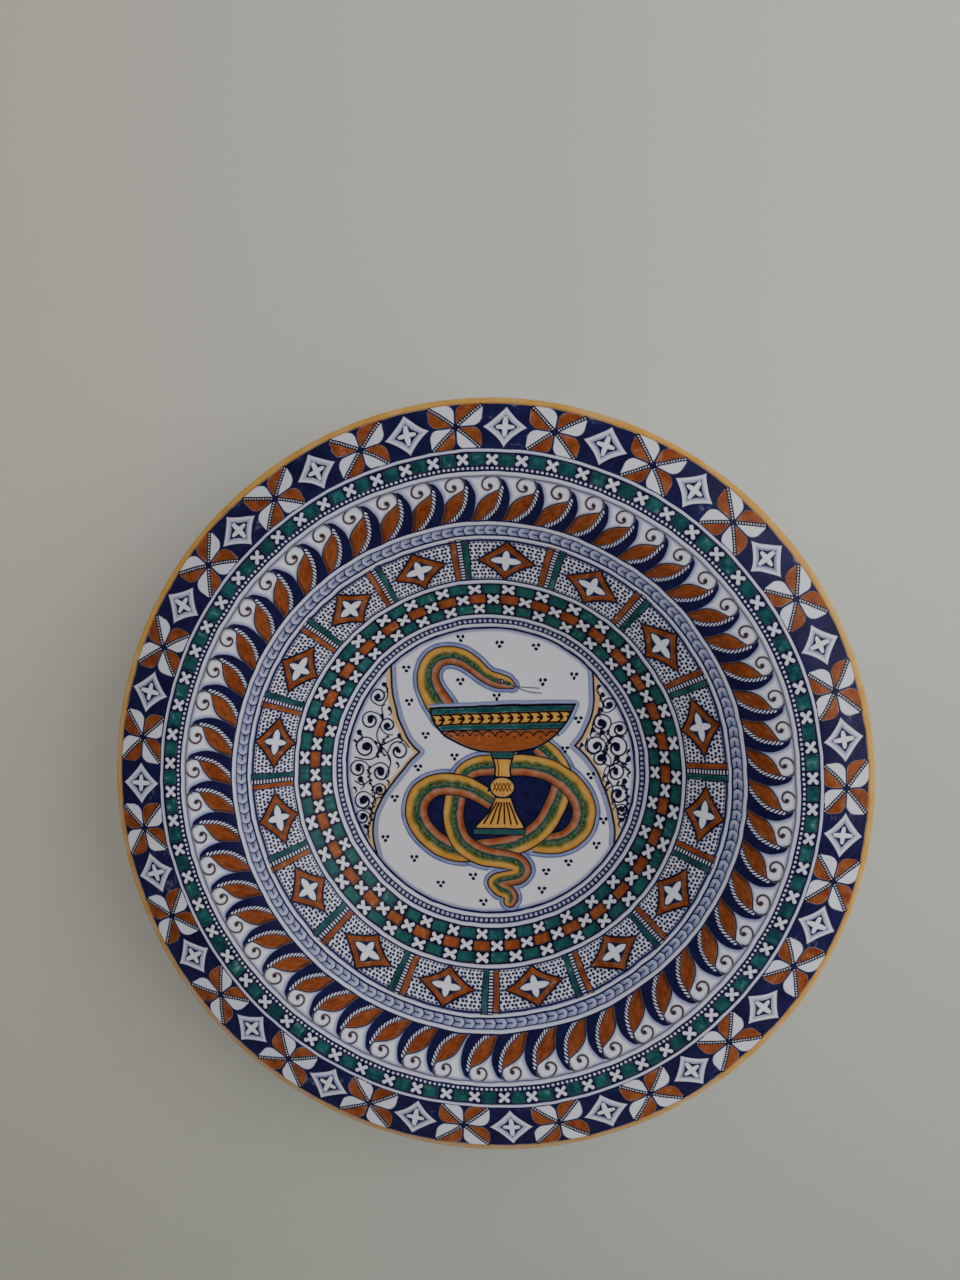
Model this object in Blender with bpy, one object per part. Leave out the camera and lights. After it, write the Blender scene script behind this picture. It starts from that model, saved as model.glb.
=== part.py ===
"""A large hand painted maiolica wall plate: a turned terracotta body under three skins of
tin glaze, and the stiff wire through its foot ring that it hangs by.

The painted face looks towards -Y, the plate's axis lies along Y and +Z is up as it hangs.
The origin is on the axis, half way between the front of the flange and the wall.
Sizes are in millimetres until they reach a mesh.
"""

from math import cos, hypot, pi, radians, sin

import bpy
from mathutils import Vector

MM = 0.001

# Face of the finished plate as radius and depth. Depth grows from the rim towards the wall.
FACE = (
    (0.0, 33.5),
    (76.0, 33.0),
    (86.0, 31.8),
    (93.0, 28.2),
    (102.0, 22.3),
    (111.0, 17.0),
    (122.0, 11.4),
    (134.0, 5.6),
    (150.0, -1.8),
    (165.0, -6.3),
    (178.0, -7.5),
    (192.0, -5.6),
    (203.0, -2.8),
)
CREST_DEPTH = -7.5
RIM_RADIUS = 210.0
LIP_RADIUS = 3.0
LIP_DEPTH = 1.4
LIP_STEPS = (-70, -35, 0, 35, 75)
WALL_AT_CENTRE = 8.0
WALL_AT_RIM = 6.0

# Foot ring, whose bare face rests on the wall.
WALL_DEPTH = 49.5
FOOT_OUTER = 88.0
FOOT_INNER = 80.0
BACK_FROM_FOOT = 3.5
FOOT_FILLET = 2.0
BARE_FOOT = 1.0

GLAZE = 1.0
GAP = 0.3
AROUND = 48

# Hanging wire: one steel wire through two holes drilled across the foot ring.
WIRE_RADIUS = 0.8
HOLE_RADIUS = 1.5
HOLE_HEIGHT = 74.5
HOLE_DEPTH = 45.0
BEND_START = 50.5
BEND_RADIUS = 3.0
LEG_SLOPE = radians(33.7)
APEX_RADIUS = 2.5
TWIST_START = 22.0
TWIST_TURNS = 3
TWIST_PITCH = 5.0
TWIST_OFFSET = WIRE_RADIUS + 0.15
TWIST_LEAD = 3.0
POINTS_PER_TURN = 10

MID_DEPTH = (WALL_DEPTH + CREST_DEPTH) / 2


def clear_scene():
    for obj in list(bpy.data.objects):
        bpy.data.objects.remove(obj, do_unlink=True)


def material(name, colour, roughness, metallic=0.0):
    made = bpy.data.materials.new(name)
    made.use_nodes = True
    shader = made.node_tree.nodes["Principled BSDF"]
    shader.inputs["Base Color"].default_value = (*colour, 1)
    shader.inputs["Roughness"].default_value = roughness
    shader.inputs["Metallic"].default_value = metallic
    return made


def inset(points, distances):
    """The outline moved into the clay, which lies to the right of its direction of travel."""
    moved = []
    last = len(points) - 1
    for i, (r, d) in enumerate(points):
        before = points[max(i - 1, 0)]
        after = points[min(i + 1, last)]
        dr = after[0] - before[0]
        dd = after[1] - before[1]
        length = hypot(dr, dd)
        r_moved = r - dd / length * distances[i]
        d_moved = d + dr / length * distances[i]
        moved.append((0.0 if r == 0 else r_moved, d_moved))
    return moved


def lip():
    """The rounded edge of the rim, from the face round to the back."""
    centre = RIM_RADIUS - LIP_RADIUS
    return [
        (centre + LIP_RADIUS * cos(radians(a)), LIP_DEPTH + LIP_RADIUS * sin(radians(a)))
        for a in LIP_STEPS
    ]


def back_of_flange():
    """The back, parallel to the face, from the rim in to the foot ring."""
    walls = [
        WALL_AT_CENTRE + (WALL_AT_RIM - WALL_AT_CENTRE) * r / RIM_RADIUS for r, _ in FACE
    ]
    outside = [p for p in inset(list(FACE), walls) if p[0] > FOOT_OUTER + BACK_FROM_FOOT]
    return outside[::-1]


def recess():
    """The back of the well, inside the foot ring, from the ring in to the axis."""
    floor = FACE[0][1] + WALL_AT_CENTRE
    corner = (FOOT_INNER - FOOT_FILLET, floor - 0.5)
    return [(FOOT_INNER, floor + FOOT_FILLET), corner, (0.0, floor)]


def foot_outer_side():
    height = FACE[2][1] + WALL_AT_CENTRE
    return [(FOOT_OUTER + FOOT_FILLET, height), (FOOT_OUTER, height + FOOT_FILLET)]


def underside():
    """The glazed back outside the foot ring, ending just short of the ring's bare face."""
    return [*back_of_flange(), *foot_outer_side(), (FOOT_OUTER, WALL_DEPTH - BARE_FOOT)]


def recess_side():
    return [(FOOT_INNER, WALL_DEPTH - BARE_FOOT), *recess()]


def turned(name, outline, parent, look):
    """Turns an outline of radius and depth about the plate's axis."""
    mesh = bpy.data.meshes.new(name)
    points = [(r * MM, 0, (MID_DEPTH - d) * MM) for r, d in outline]
    edges = [(i, i + 1) for i in range(len(points) - 1)]
    on_axis = outline[0][0] == 0 and outline[-1][0] == 0
    if not on_axis:
        edges.append((len(points) - 1, 0))
    mesh.from_pydata(points, edges, [])
    mesh.materials.append(look)
    obj = bpy.data.objects.new(name, mesh)
    bpy.context.scene.collection.objects.link(obj)
    obj.parent = parent
    obj.rotation_euler = (pi / 2, 0, 0)
    screw = obj.modifiers.new("turn", "SCREW")
    screw.axis = "Z"
    screw.steps = AROUND
    screw.render_steps = AROUND
    screw.use_merge_vertices = True
    screw.merge_threshold = 0.00001
    screw.use_smooth_shade = True
    return obj


def skin(name, surface, parent, look):
    """A layer of glaze over an open stretch of the finished surface."""
    under = inset(surface, [GLAZE] * len(surface))
    return turned(name, [*surface, *under[::-1]], parent, look)


def clay_outline():
    """The finished outline less its glaze, with the foot's resting face left bare."""
    depth = GLAZE + GAP
    front = [*FACE, *lip()]
    outer = [*front, *underside()]
    inner = recess_side()
    outer = inset(outer, [depth] * len(outer))
    inner = inset(inner, [depth] * len(inner))
    outer[-1] = (FOOT_OUTER - depth, WALL_DEPTH)
    inner[0] = (FOOT_INNER + depth, WALL_DEPTH)
    return [*outer, *inner]


def bored(obj, cutter):
    cut = obj.modifiers.new("wire_holes", "BOOLEAN")
    cut.operation = "DIFFERENCE"
    cut.object = cutter


def hole_cutter(hinge):
    """One long cylinder along the hinge axis drills both sides of the foot ring."""
    bpy.ops.mesh.primitive_cylinder_add(
        vertices=16, radius=HOLE_RADIUS * MM, depth=2.6 * BEND_START * MM
    )
    cutter = bpy.context.object
    cutter.name = "hole_cutter"
    cutter.parent = hinge
    cutter.rotation_euler = (0, pi / 2, 0)
    cutter.hide_render = True
    cutter.display_type = "WIRE"
    return cutter


def leg_line():
    """Foot and direction of the right-hand leg, as x and height above the hinge axis."""
    turn = pi - LEG_SLOPE
    start = Vector(
        (
            BEND_START + BEND_RADIUS * sin(turn),
            BEND_RADIUS - BEND_RADIUS * cos(turn),
        )
    )
    return start, Vector((-cos(LEG_SLOPE), sin(LEG_SLOPE)))


def arc(centre, radius, start, sweep, count):
    angles = [start + sweep * i / count for i in range(count + 1)]
    return [centre + radius * Vector((cos(a), sin(a))) for a in angles]


def apex_arc(side):
    """Half of the rounded apex, from the leg on the given side to the middle."""
    start, along = leg_line()
    peak = start.y + along.y * start.x / -along.x
    centre = Vector((0, peak - APEX_RADIUS / cos(LEG_SLOPE)))
    half = arc(centre, APEX_RADIUS, pi / 2 - LEG_SLOPE, LEG_SLOPE, 3)
    return [Vector((side * p.x, p.y)) for p in half]


def twisted_end(phase, from_distance, to_distance):
    """One of the two ends wound round the other along the right-hand leg."""
    start, along = leg_line()
    across = Vector((-along.y, along.x))
    steps = round(abs(to_distance - from_distance) / TWIST_PITCH * POINTS_PER_TURN)
    points = []
    for i in range(steps + 1):
        distance = from_distance + (to_distance - from_distance) * i / steps
        angle = phase + 2 * pi * distance / TWIST_PITCH
        flat = start + along * distance + across * (TWIST_OFFSET * cos(angle))
        points.append(Vector((flat.x, TWIST_OFFSET * sin(angle), flat.y)))
    return points


def wire_route():
    """The wire from one twisted end, through both holes and over the apex, to the other."""
    start, along = leg_line()
    low = TWIST_START
    high = low + TWIST_TURNS * TWIST_PITCH

    def flat(points):
        return [Vector((p.x, 0, p.y)) for p in points]

    bend_centre = Vector((BEND_START, BEND_RADIUS))
    right_bend = arc(bend_centre, BEND_RADIUS, -pi / 2, pi - LEG_SLOPE, 7)
    left_bend = [Vector((-p.x, p.y)) for p in right_bend]
    lower_leg = [start + along * s for s in (low - TWIST_LEAD, low / 2)]
    inner_strand = [Vector((x * BEND_START, 0)) for x in (0.5, 0, -0.5)]
    left_leg = [Vector((-start.x - along.x * s, start.y + along.y * s)) for s in (15, 30, 45)]
    upper_leg = [start + along * s for s in (high + 2 * TWIST_LEAD, high + TWIST_LEAD)]
    return [
        *twisted_end(0, high, low),
        *flat([*lower_leg, *right_bend[::-1], *inner_strand, *left_bend, *left_leg]),
        *flat([*apex_arc(-1), *apex_arc(1)[-2::-1], *upper_leg]),
        *twisted_end(pi, high, low),
    ]


def wire(name, hinge, look):
    curve = bpy.data.curves.new(name, "CURVE")
    curve.dimensions = "3D"
    curve.bevel_depth = WIRE_RADIUS * MM
    curve.bevel_resolution = 2
    curve.use_fill_caps = True
    points = wire_route()
    spline = curve.splines.new("POLY")
    spline.points.add(len(points) - 1)
    for slot, point in zip(spline.points, points):
        slot.co = (*(point * MM), 1)
    curve.materials.append(look)
    obj = bpy.data.objects.new(name, curve)
    bpy.context.scene.collection.objects.link(obj)
    obj.parent = hinge


def empty(name, location, parent=None):
    made = bpy.data.objects.new(name, None)
    bpy.context.scene.collection.objects.link(made)
    made.location = location
    made.parent = parent
    return made


clear_scene()
terracotta = material("terracotta", (0.52, 0.27, 0.16), 0.85)
painted_glaze = material("painted_glaze", (0.32, 0.34, 0.46), 0.16)
white_glaze = material("white_glaze", (0.78, 0.76, 0.70), 0.2)
steel = material("steel_wire", (0.45, 0.44, 0.42), 0.35, 1.0)

plate = empty("plate", (0, 0, 0))
hinge = empty("wire_hinge", (0, (HOLE_DEPTH - MID_DEPTH) * MM, HOLE_HEIGHT * MM), plate)

clay = turned("clay_body", clay_outline(), plate, terracotta)
front = skin("front_glaze", [*FACE, *lip()[:4]], plate, painted_glaze)
below = skin("underside_glaze", [lip()[4], *underside()], plate, white_glaze)
inside = skin("recess_glaze", recess_side(), plate, white_glaze)
cutter = hole_cutter(hinge)
for drilled in (clay, below, inside):
    bored(drilled, cutter)
wire("hanging_wire", hinge, steel)
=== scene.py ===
"""The looks of a hand painted maiolica wall plate: a finely lofted plate whose tin glaze carries
painted pigment densities, a bare terracotta foot, a steel hanging wire, a wall and soft light.

Plate sizes are in millimetres, x to the right and y up as seen from the front, and depth grows
towards the wall. They become metres where a mesh is made.
"""

from contextlib import contextmanager
from math import cos, hypot, pi, radians, sin

import bpy
import numpy as np
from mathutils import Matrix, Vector


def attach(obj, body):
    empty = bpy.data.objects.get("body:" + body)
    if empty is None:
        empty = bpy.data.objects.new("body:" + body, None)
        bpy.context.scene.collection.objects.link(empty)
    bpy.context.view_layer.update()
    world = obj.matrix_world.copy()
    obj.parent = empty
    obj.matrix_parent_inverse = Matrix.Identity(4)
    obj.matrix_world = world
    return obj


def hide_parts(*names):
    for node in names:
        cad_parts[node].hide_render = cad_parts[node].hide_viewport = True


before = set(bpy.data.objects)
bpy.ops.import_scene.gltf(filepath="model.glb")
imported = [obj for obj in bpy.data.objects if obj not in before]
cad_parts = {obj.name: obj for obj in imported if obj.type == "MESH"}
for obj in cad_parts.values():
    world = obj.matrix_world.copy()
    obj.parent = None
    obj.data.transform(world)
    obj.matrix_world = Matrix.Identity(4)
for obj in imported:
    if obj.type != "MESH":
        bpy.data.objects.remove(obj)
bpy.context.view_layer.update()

MM = 0.001

# ---------------------------------------------------------------- the plate's section

# Radius and depth of the painted face, from the centre out to the lip.
FACE = (
    (0, 33.5), (76, 33), (86, 31.8), (93, 28.2), (102, 22.3), (111, 17), (122, 11.4),
    (134, 5.6), (150, -1.8), (165, -6.3), (178, -7.5), (192, -5.6), (203, -2.8),
)
CREST_DEPTH = -7.5
RIM_RADIUS = 210.0
LIP_RADIUS = 3.0
LIP_DEPTH = 1.4
WALL_AT_CENTRE = 8.0
WALL_AT_RIM = 6.0
WALL_DEPTH = 49.5
MID_DEPTH = (WALL_DEPTH + CREST_DEPTH) / 2
FOOT_OUTER = 88.0
FOOT_INNER = 80.0
BACK_FROM_FOOT = 3.5
FOOT_FILLET = 2.0
BARE_FOOT = 1.0
SKIN = 0.8

# The hanging wire and its hinge axis through the foot ring.
WIRE_RADIUS = 0.8
WIRE_SIDES = 20
HOLE_RADIUS = 1.5
HOLE_HEIGHT = 74.5
HOLE_DEPTH = 45.0
BEND_START = 50.5
BEND_RADIUS = 3.0
LEG_SLOPE = radians(33.7)
APEX_RADIUS = 2.5
TWIST_START = 22.0
TWIST_TURNS = 3
TWIST_PITCH = 5.0
TWIST_OFFSET = WIRE_RADIUS + 0.15
TWIST_LEAD = 3.0
POINTS_PER_TURN = 12

# ---------------------------------------------------------------- curves and meshes


def smooth(points, per_span=8):
    """A Catmull-Rom curve through the points; further columns, such as a width, follow along."""
    p = np.array(points, float)
    p = np.vstack([2 * p[0] - p[1], p, 2 * p[-1] - p[-2]])
    t = np.linspace(0, 1, per_span, endpoint=False)[:, None]
    spans = [
        b + 0.5 * t * (c - a + t * (2 * a - 5 * b + 4 * c - d + t * (3 * (b - c) + d - a)))
        for a, b, c, d in zip(p[:-3], p[1:-2], p[2:-1], p[3:])
    ]
    return np.vstack([*spans, p[-2]])


def evenly(curve, spacing):
    """The same curve with points at equal steps along it."""
    steps = np.hypot(*np.diff(curve[:, :2], axis=0).T)
    along = np.concatenate([[0], np.cumsum(steps)])
    at = np.linspace(0, along[-1], max(2, round(along[-1] / spacing) + 1))
    return np.stack([np.interp(at, along, column) for column in curve.T], axis=1)


def inset(points, distance):
    """The outline moved into the clay, to the right of its direction of travel."""
    p = np.array(points, float)
    step = np.gradient(p, axis=0)
    step /= np.hypot(*step.T)[:, None]
    distance = np.broadcast_to(distance, len(p))[:, None]
    moved = p + distance * np.stack([-step[:, 1], step[:, 0]], axis=1)
    moved[p[:, 0] == 0, 0] = 0
    return moved


def oval(x, y, half_x, half_y, angles):
    """Points of an oval at these angles, in degrees."""
    return [(x + half_x * cos(a), y + half_y * sin(a)) for a in map(radians, angles)]


def lip(*angles):
    """Points of the round lip, at degrees from straight out towards the wall."""
    return oval(RIM_RADIUS - LIP_RADIUS, LIP_DEPTH, LIP_RADIUS, LIP_RADIUS, angles)


def face_outline():
    """Centre of the face out to the back of the lip."""
    ghost = (-FACE[1][0], FACE[1][1])
    per_span = 24
    curve = smooth([ghost, *FACE, *lip(-70, -50, -30, -10, 10, 35)], per_span)[per_span:]
    curve[0] = FACE[0]
    return curve


def back_outline():
    """The back, from the lip in to the foot ring's outer side."""
    thinning = (WALL_AT_RIM - WALL_AT_CENTRE) / RIM_RADIUS
    outside = inset(FACE, [WALL_AT_CENTRE + thinning * r for r, _ in FACE])
    outside = [p for p in outside if p[0] > FOOT_OUTER + BACK_FROM_FOOT]
    height = FACE[2][1] + WALL_AT_CENTRE
    flange = smooth([*lip(75), *outside[::-1], (FOOT_OUTER + FOOT_FILLET, height)], 12)
    side = [
        (FOOT_OUTER + 0.5, height + 0.5),
        (FOOT_OUTER, height + FOOT_FILLET),
        (FOOT_OUTER, WALL_DEPTH - BARE_FOOT),
    ]
    return np.vstack([flange, side])


def recess_outline():
    """The inner side of the foot ring and the back of the well, in to the axis."""
    floor = FACE[0][1] + WALL_AT_CENTRE
    points = [
        (FOOT_INNER, WALL_DEPTH - BARE_FOOT),
        (FOOT_INNER, floor + FOOT_FILLET),
        (FOOT_INNER - 0.5, floor + 0.4),
        (FOOT_INNER - FOOT_FILLET, floor - 0.5),
        (FOOT_INNER - 8, floor - 0.45),
        (FOOT_INNER / 2, floor - 0.2),
        (0.0, floor),
    ]
    return np.array(points)


def stitched(first, n, other, m):
    """Faces between one ring and the next, which has as many points, half or twice as many."""
    if n > m:
        return [face[:, ::-1] for face in stitched(other, m, first, n)]
    if n == 1:
        j = np.arange(m)
        corners = [(first + 0 * j, other + j, other + (j + 1) % m)]
    else:
        j = np.arange(n)
        k = (j + 1) % n
        a, b = first + j, first + k
        if n == m:
            corners = [(a, other + j, other + k, b)]
        else:
            c, d, e = other + 2 * j, other + 2 * j + 1, other + (2 * j + 2) % m
            corners = [(a, c, d), (a, d, b), (b, d, e)]
    return [np.stack(face, axis=1) for face in corners]


def meshed(name, co, faces):
    """A smooth mesh from points in millimetres and arrays of faces."""
    mesh = bpy.data.meshes.new(name)
    mesh.vertices.add(len(co))
    mesh.vertices.foreach_set("co", (co * MM).astype(np.float32).ravel())
    loops = np.concatenate([f.ravel() for f in faces]).astype(np.int32)
    totals = np.concatenate([np.full(len(f), f.shape[1]) for f in faces])
    starts = np.cumsum(totals) - totals
    mesh.loops.add(len(loops))
    mesh.loops.foreach_set("vertex_index", loops)
    mesh.polygons.add(len(totals))
    mesh.polygons.foreach_set("loop_start", starts.astype(np.int32))
    mesh.update(calc_edges=True)
    mesh.shade_smooth()
    return mesh


def lofted(name, rings, closed=False):
    """A mesh through rings of (radius, depth, points), of which one on the axis is a single point.

    Returns it with each ring's first point and each point's radius and angle.
    """
    sizes = [n if r > 0 else 1 for r, _, n in rings]
    first = np.concatenate([[0], np.cumsum(sizes)])
    r, depth = (np.repeat([ring[i] for ring in rings], sizes) for i in (0, 1))
    angle = np.concatenate([2 * pi * np.arange(n) / n for n in sizes])
    faces = []
    for a in range(len(rings) - (not closed)):
        b = (a + 1) % len(rings)
        faces += stitched(first[a], sizes[a], first[b], sizes[b])
    co = np.stack([r * np.cos(angle), depth - MID_DEPTH, r * np.sin(angle)], axis=1)
    return meshed(name, co, faces), first, r, angle


def placed(name, data, place=(0, 0, 0), turn=(0, 0, 0)):
    obj = bpy.data.objects.new(name, data)
    obj.location = place
    obj.rotation_euler = turn
    bpy.context.scene.collection.objects.link(obj)
    return obj


def added(name, mesh, look):
    mesh.materials.append(look)
    return placed(name, mesh)


# ---------------------------------------------------------------- painting

PIGMENTS = ("navy", "wash", "orange", "yellow", "green", "line")
EDGE = 0.42
THICKEST = 0.5
LATTICE = np.random.default_rng(11).uniform(-1, 1, (256, 256)).astype(np.float32)


def cloud(x, y, size, shift=0):
    """Smooth random values over the plane, about -1 to 1, from one seeded lattice."""
    x = x / size + 37.3 * shift + 300
    y = y / size + 17.9 * shift + 300
    i, j = np.floor(x).astype(int), np.floor(y).astype(int)
    fx, fy = x - i, y - j
    fx, fy = fx * fx * (3 - 2 * fx), fy * fy * (3 - 2 * fy)
    i, j = i & 255, j & 255
    k, m = (i + 1) & 255, (j + 1) & 255
    low = LATTICE[i, j] * (1 - fx) + LATTICE[k, j] * fx
    high = LATTICE[i, m] * (1 - fx) + LATTICE[k, m] * fx
    return low * (1 - fy) + high * fy


def unit(value):
    """The value held between 0 and 1."""
    return np.clip(value, 0, 1)


def inside(distance, soft=EDGE):
    """1 inside a shape and 0 outside, from a signed distance that is negative inside."""
    return unit(0.5 - distance / soft)


def ribbon(distance, half, soft=EDGE):
    return inside(abs(distance) - half, soft)


def around(x, y, points, reach):
    """Which places lie within reach of the box round some points."""
    (left, bottom), (right, top) = np.min(points, axis=0)[:2], np.max(points, axis=0)[:2]
    across = (x > left - reach) & (x < right + reach)
    return across & (y > bottom - reach) & (y < top + reach)


class Canvas:
    """Pigment densities on some of the face's points."""

    def __init__(self, x, y, layers=None):
        self.x, self.y = x.astype(np.float32), y.astype(np.float32)
        self.r = np.hypot(x, y)
        self.angle = np.arctan2(y, x) % (2 * pi)
        blank = np.zeros((len(PIGMENTS), len(x)), np.float32)
        self.layers = blank if layers is None else layers

    @contextmanager
    def part(self, picked):
        """The picked points as a canvas of their own, whose paint then comes back to this one."""
        picked = np.flatnonzero(picked)
        view = Canvas(self.x[picked], self.y[picked], self.layers[:, picked])
        view.picked = picked
        yield view
        self.layers[:, picked] = view.layers

    def near(self, points, reach):
        return self.part(around(self.x, self.y, points, reach))

    def fill(self, cover, **tones):
        """Lays opaque paint: what was there goes, in proportion to the cover."""
        cover = np.asarray(cover, np.float32)
        self.layers *= 1 - cover
        for name, tone in tones.items():
            self.layers[PIGMENTS.index(name)] += cover * tone

    def lay(self, distance, soft=EDGE, **tones):
        """Fills a shape."""
        self.fill(inside(distance, soft), **tones)

    def tint(self, cover, **tones):
        """Lays thin paint over what is there."""
        for name, tone in tones.items():
            layer = self.layers[PIGMENTS.index(name)]
            np.maximum(layer, cover * tone, out=layer)


def block(x, y, half_x, half_y):
    """Distance to a rectangle with sharp corners."""
    return np.maximum(abs(x) - half_x, abs(y) - half_y)


def box_distance(x, y, half_x, half_y, round_by=0.0):
    dx = abs(x) - half_x + round_by
    dy = abs(y) - half_y + round_by
    outside = np.hypot(np.maximum(dx, 0), np.maximum(dy, 0))
    return outside + np.minimum(np.maximum(dx, dy), 0) - round_by


def arm_distance(x, y, reach_x, reach_y, thin, thick):
    """Distance to the nearer arm of an X whose arms thicken outwards."""
    ax, ay = abs(x), abs(y)
    length = reach_x**2 + reach_y**2
    t = unit((ax * reach_x + ay * reach_y) / length)
    return np.hypot(ax - t * reach_x, ay - t * reach_y) - thin - (thick - thin) * t


def concave_diamond(x, y, half_x, half_y, power):
    reach = ((abs(x) / half_x) ** power + (abs(y) / half_y) ** power) ** (1 / power)
    return (reach - 1) * half_x * half_y / np.hypot(half_x, half_y)


def wrapped(along, pitch):
    """Offset from the nearest multiple of the pitch."""
    return along - np.round(along / pitch) * pitch


class Trace:
    """Where points lie beside a path: distance, signed offset, length along, half width."""

    def __init__(self, x, y, path, reach, square_start=False, square_end=False):
        path = np.array(path, float)
        if path.shape[1] == 2:
            path = np.hstack([path, np.zeros((len(path), 1))])
        self.distance = np.full(x.shape, 99.0, np.float32)
        self.offset = np.zeros(x.shape, np.float32)
        self.along = np.zeros(x.shape, np.float32)
        self.half = np.full(x.shape, 1e-3, np.float32)
        covered = 0.0
        for (x0, y0, w0), (x1, y1, w1) in zip(path[:-1], path[1:]):
            dx, dy = x1 - x0, y1 - y0
            length = hypot(dx, dy)
            if length == 0:
                continue
            beside = around(x, y, [(x0, y0), (x1, y1)], reach + max(w0, w1))
            pick = np.flatnonzero(beside)
            px, py = x[pick] - x0, y[pick] - y0
            t = unit((px * dx + py * dy) / length**2)
            distance = np.hypot(px - t * dx, py - t * dy)
            closer = distance < self.distance[pick]
            pick, t = pick[closer], t[closer]
            side = np.sign(dx * py - dy * px)[closer]
            self.distance[pick] = distance[closer]
            self.offset[pick] = side * distance[closer]
            self.along[pick] = covered + t * length
            self.half[pick] = w0 + (w1 - w0) * t
            covered += length
        self.length = covered
        if square_start:
            self.distance[self.along <= 0] = 99.0
        if square_end:
            self.distance[self.along >= covered - 1e-4] = 99.0


def polygon_distance(x, y, corners, reach=4.0):
    """Signed distance to a closed outline, negative inside; only nearly right past reach."""
    closed = np.vstack([corners, corners[:1]])
    distance = np.minimum(Trace(x, y, closed, reach).distance, reach)
    within = np.zeros(x.shape, bool)
    for (x0, y0), (x1, y1) in zip(closed[:-1], closed[1:]):
        if y0 != y1:
            within ^= ((y0 > y) != (y1 > y)) & (x < (x1 - x0) * (y - y0) / (y1 - y0) + x0)
    return np.where(within, -distance, distance)


class Cells:
    """Repeats of a motif round the plate: local x along the band, y outwards, in millimetres."""

    def __init__(self, canvas, count, middle, phase, seed, drift=0.0, knots=None):
        turned = canvas.angle - radians(phase)
        if knots:
            turned -= np.radians(np.interp(np.degrees(canvas.angle), *zip(*knots)))
        turned -= radians(drift) * np.sin(2 * canvas.angle + seed)
        self.turn = turned / (2 * pi) * count
        self.count, self.pitch, self.middle = count, 2 * pi * middle / count, middle
        self.radius = canvas.r
        jitter = np.random.default_rng(seed).uniform(-1, 1, (4, count))
        self.jitter = jitter.astype(np.float32)

    def at(self, shift=0.0, along=0.0, across=0.0):
        """Local x and y round the nearest repeat, or round one further on, moved a little by hand."""
        repeat = np.round(self.turn - shift % 1)
        self.index = (repeat + int(shift // 1)).astype(int) % self.count
        x = (self.turn - repeat - shift) * self.pitch - along * self.jitter[0][self.index]
        y = self.radius - self.middle - across * self.jitter[1][self.index]
        return x.astype(np.float32), y.astype(np.float32)

    def odd(self, row=2):
        """A random value from -1 to 1 for each repeat."""
        return self.jitter[row][self.index]


def ring(c, low, high, soft=EDGE, **tones):
    c.fill(ribbon(c.r - (low + high) / 2, (high - low) / 2, soft), **tones)


def white_ring(c, low, high):
    """A white line scratched between two blue ones, shaded on its inner side."""
    ring(c, low - 1.1, high + 0.9, navy=1.3)
    ring(c, low, high, wash=0.16)
    ring(c, low, low + 0.5, 0.8, wash=0.6)


def brushed(c, size=5.0, amount=0.3, shift=0):
    """Density left by the brush: 1 where it is thin and more where it is thick."""
    along = c.angle * 190
    turned = cloud(along, c.r, size, shift)
    fine = cloud(along, c.r * 2.5, size / 4, shift + 5)
    return 1 + amount * (0.5 + 0.6 * turned + 0.4 * fine)


def dab(c, x, y, distance, start, colour, tone, **edge):
    """A short stroke along x, thicker at its edge and from start on towards both ends."""
    c.lay(distance, **{colour: tone})
    c.tint(inside(distance) * ribbon(distance, 0.5, 0.8), **edge)
    ends = unit(abs(x) * 0.5 - start + cloud(x * 1.6, y * 0.3, 0.8, 3))
    c.tint(inside(distance) * ends, **{colour: 1.45})


# The rim and the broad navy band of split flowers and diamonds.
FLOWERS = 23
FLOWER_BAND = (181.4, 206)
PETAL = (6.9, 6)


def rim_line(c):
    uneven = 0.5 * cloud(c.angle * 190, c.r, 9, 3)
    # Painted shade: the rim's yellow is made browner and darker towards the lower left, standing in
    # for the shade that falls there.
    lower_left_painted_shade = unit(np.cos(c.angle - radians(245)))
    yellow = 1.05 + 0.25 * uneven - 0.25 * lower_left_painted_shade
    c.lay(205.9 - c.r + 0.4 * uneven, yellow=yellow, line=0.08 + 0.3 * lower_left_painted_shade)
    c.tint(ribbon(c.r - 206.3, 0.45, 1), line=0.35, orange=0.5)


def split_flower(c, x, y):
    """Four petals, each split by a beaded line into a white half and an orange one."""
    width, height = PETAL
    u, v = abs(x) - width - 0.45, abs(y) - height - 0.35
    rounded = box_distance(u, v, width, height, 5.4)
    pointed = box_distance(u, v, width, height, 1.2)
    petal = np.where(u * v < 0, rounded, pointed)
    split = (u * height - v * width) / hypot(width, height)
    along = (u * width + v * height) / hypot(width, height)
    pale = (x * y > 0) == (split < 0)
    shaded = unit(0.35 + 0.09 * (abs(split) - 2.2))
    c.fill(inside(petal) * pale, wash=0.1)
    c.fill(inside(petal) * ~pale, orange=brushed(c, 4, 0.4, 2), line=0.2 * shaded)
    c.lay(np.maximum(petal - 0.3, abs(split) - 1.05), navy=1.3, line=0.9)
    bead = np.hypot(wrapped(along, 1.5), split) - 0.52
    c.lay(np.maximum(petal, bead), 0.3, wash=0.15)
    c.lay(block(x, y, 13.6, 0.45), 0.5, navy=1.2)
    c.lay(block(x, y, 0.5, 12), 0.5, navy=1.2)


def bulging(x, y, half, length):
    """Distance to a bar along y that is widest a third of the way out."""
    return abs(x) - half * np.sqrt(unit(1 - (abs(y / length) - 0.3) ** 2 / 0.5))


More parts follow.
